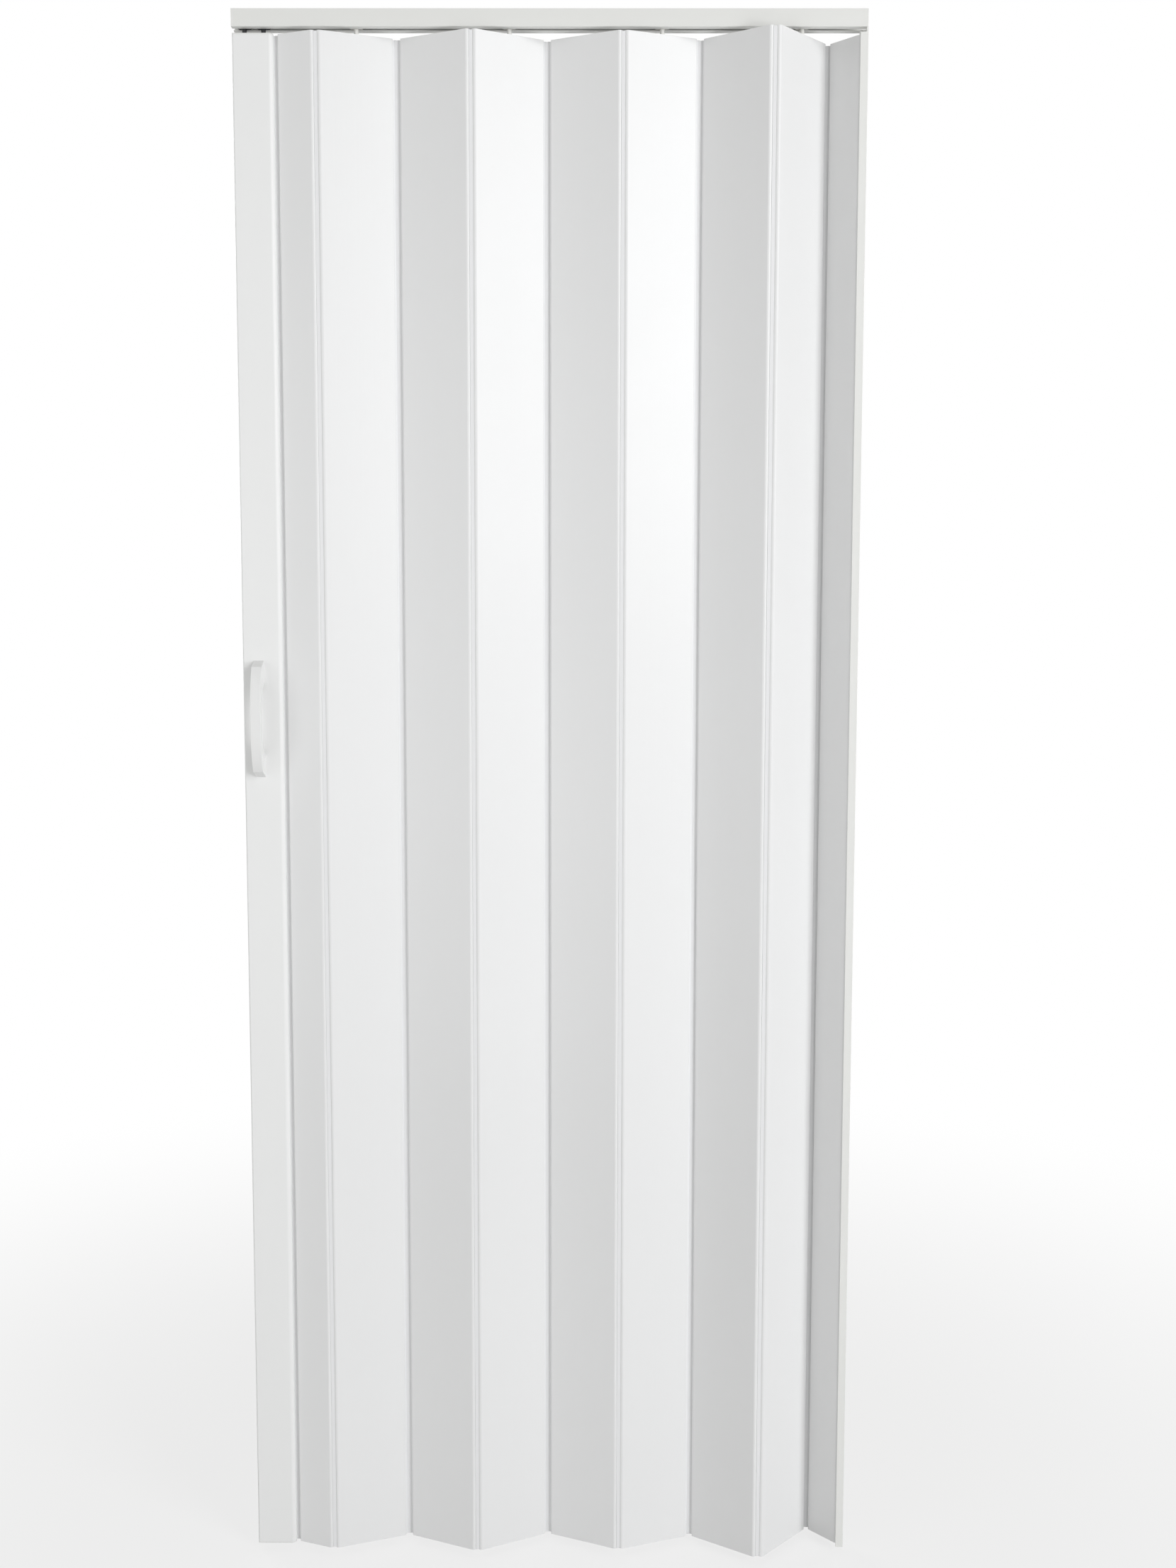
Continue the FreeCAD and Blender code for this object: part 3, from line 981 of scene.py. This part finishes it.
room = {
    "ambient": 0.356, "ambientColour": (1, 0.999, 0.975, 1), "floorDrop": 10 * mm, "floorHalf": 6,
    "floorDark": (0.62, 0.618, 0.614, 1), "floorLight": (0.64, 0.638, 0.634, 1),
    "mottleSize": 3, "mottleDetail": 2, "floorWhite": 0.72, "fadeStart": 0.5, "fadeEnd": 2.4,
}
lamps = {
    "key": {
        "place": (4.0, -4.2, 0.95), "aim": (0, 0, -0.8), "width": 2.3, "height": 3.2,
        "power": 137, "colour": (0.99, 0.995, 1),
    },
    "lowKey": {
        "place": (3.0, -2.8, -1.4), "aim": (0, 0, -1.5), "width": 1.6, "height": 1.0,
        "power": 38, "colour": (0.965, 0.975, 1), "inGloss": False,
    },
    "fill": {
        "place": (-2.3, -2.2, -1.0), "aim": (-0.3, 0, -1.0), "width": 2.4, "height": 2.6,
        "power": 25, "colour": (0.98, 0.99, 1),
    },
    "backKey": {
        "place": (-4.0, 4.2, 0.7), "aim": (0, 0, -0.9), "width": 2.2, "height": 3.8,
        "power": 100, "colour": (0.99, 0.995, 1),
    },
    "backFill": {
        "place": (2.6, 2.5, -1.0), "aim": (0.1, 0, -1.0), "width": 2.4, "height": 2.6,
        "power": 26, "colour": (0.98, 0.99, 1),
    },
}


def setWorld():
    world = bpy.data.worlds.new("room")
    scene.world = world
    world.use_nodes = True
    tree = world.node_tree
    tree.nodes.clear()
    ray = putNode(tree, "ShaderNodeLightPath").outputs
    seen = doMath(tree, "MAXIMUM", ray["Is Camera Ray"], ray["Is Glossy Ray"])
    either = doMath(tree, "MAXIMUM", seen, ray["Is Transmission Ray"])
    white = putNode(tree, "ShaderNodeBackground", {"Color": (1, 1, 1, 1), "Strength": 1})
    soft = putNode(
        tree, "ShaderNodeBackground", {"Color": room["ambientColour"], "Strength": room["ambient"]}
    )
    mixed = putNode(
        tree, "ShaderNodeMixShader", {0: either, 1: soft.outputs[0], 2: white.outputs[0]}
    )
    putNode(tree, "ShaderNodeOutputWorld", {"Surface": mixed.outputs[0]})


def setLamp(name, spec):
    light = bpy.data.lights.new(name, "AREA")
    light.shape = "RECTANGLE"
    light.size = spec["width"]
    light.size_y = spec["height"]
    light.energy = spec["power"]
    light.color = spec["colour"]
    lamp = bpy.data.objects.new(name, light)
    lamp.location = spec["place"]
    lamp.rotation_euler = (Vector(spec["aim"]) - lamp.location).to_track_quat("-Z", "Y").to_euler()
    lamp.visible_glossy = spec.get("inGloss", True)
    scene.collection.objects.link(lamp)


# A pale floor just under the hanging slats, which fades into the white round it
def setFloor():
    half = room["floorHalf"]
    level = slatLow - room["floorDrop"]
    mesh = bpy.data.meshes.new("floor")
    corners = [(-half, -half), (half, -half), (half, half), (-half, half)]
    mesh.from_pydata([(x, y, level) for x, y in corners], [], [(0, 1, 2, 3)])
    floor = bpy.data.objects.new("floor", mesh)
    scene.collection.objects.link(floor)
    material = bpy.data.materials.new("paleFloor")
    material.use_nodes = True
    tree = material.node_tree
    tree.nodes.clear()
    place = putNode(tree, "ShaderNodeTexCoord").outputs["Object"]
    centred = putNode(tree, "ShaderNodeMapping", {"Vector": place, "Location": (0, 0, -level)})
    away = putNode(tree, "ShaderNodeVectorMath", {0: centred.outputs[0]}, operation="LENGTH")
    fade = putNode(
        tree,
        "ShaderNodeMapRange",
        {
            "Value": away.outputs["Value"],
            "From Min": room["fadeStart"],
            "From Max": room["fadeEnd"],
            "To Min": room["floorWhite"],
        },
        interpolation_type="SMOOTHSTEP",
    )
    mottle = addNoise(tree, place, room["mottleSize"], room["mottleDetail"])
    tone = putNode(
        tree,
        "ShaderNodeMix",
        {"Factor": mottle, "A": room["floorDark"], "B": room["floorLight"]},
        data_type="RGBA",
    )
    matt = putNode(tree, "ShaderNodeBsdfDiffuse", {"Color": tone.outputs["Result"]})
    white = putNode(tree, "ShaderNodeEmission", {"Color": (1, 1, 1, 1), "Strength": 1})
    ray = putNode(tree, "ShaderNodeLightPath").outputs
    share = doMath(tree, "MULTIPLY", fade.outputs["Result"], ray["Is Camera Ray"])
    mixed = putNode(
        tree, "ShaderNodeMixShader", {0: share, 1: matt.outputs[0], 2: white.outputs[0]}
    )
    putNode(tree, "ShaderNodeOutputMaterial", {"Surface": mixed.outputs[0]})
    mesh.materials.append(material)


setCamera()
setWorld()
for lampName, lampSpec in lamps.items():
    setLamp(lampName, lampSpec)
setFloor()
print("camera, light and floor set")
